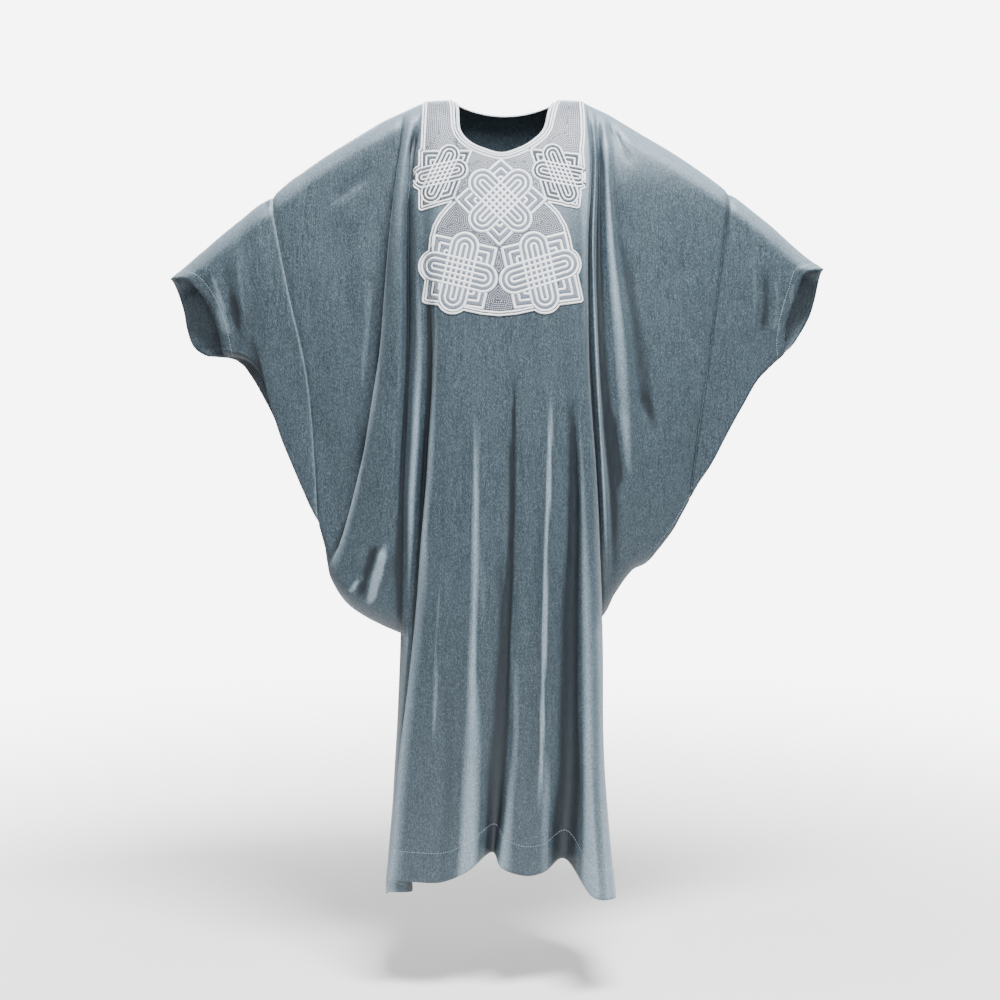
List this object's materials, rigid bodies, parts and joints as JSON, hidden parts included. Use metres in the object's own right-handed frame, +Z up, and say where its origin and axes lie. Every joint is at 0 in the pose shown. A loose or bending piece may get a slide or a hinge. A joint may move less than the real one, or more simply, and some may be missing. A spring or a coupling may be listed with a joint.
{
  "type": "robe dress",
  "caption": "Long pullover velvet robe with wide wing sleeves, draped as worn with the arms out, and an embroidered knotwork bib below a scooped neck",
  "frame": {"origin": "on the shoulder line at the middle of the neck, where the wearer's shoulders hold the robe", "axes": "+Z up, the front of the robe faces -Y, +X toward the wearer's left sleeve"},
  "size_m": [1.184, 0.2805, 1.4629],
  "materials": {
    "velvet": "steel blue grey silky velvet with a short directional pile, bright where a fold turns to the light",
    "embroidery_thread": "dense satin and chain stitch in white and silver grey thread, slightly raised",
    "binding": "narrow rolled edge covered in close white stitching"
  },
  "bodies": {
    "root": {"front_panel": "velvet", "back_panel": "velvet", "sleeve_left_front": "velvet", "sleeve_left_back": "velvet", "sleeve_right_front": "velvet", "sleeve_right_back": "velvet", "bib_embroidery": "embroidery_thread", "neck_binding": "binding"}
  },
  "joints": []
}
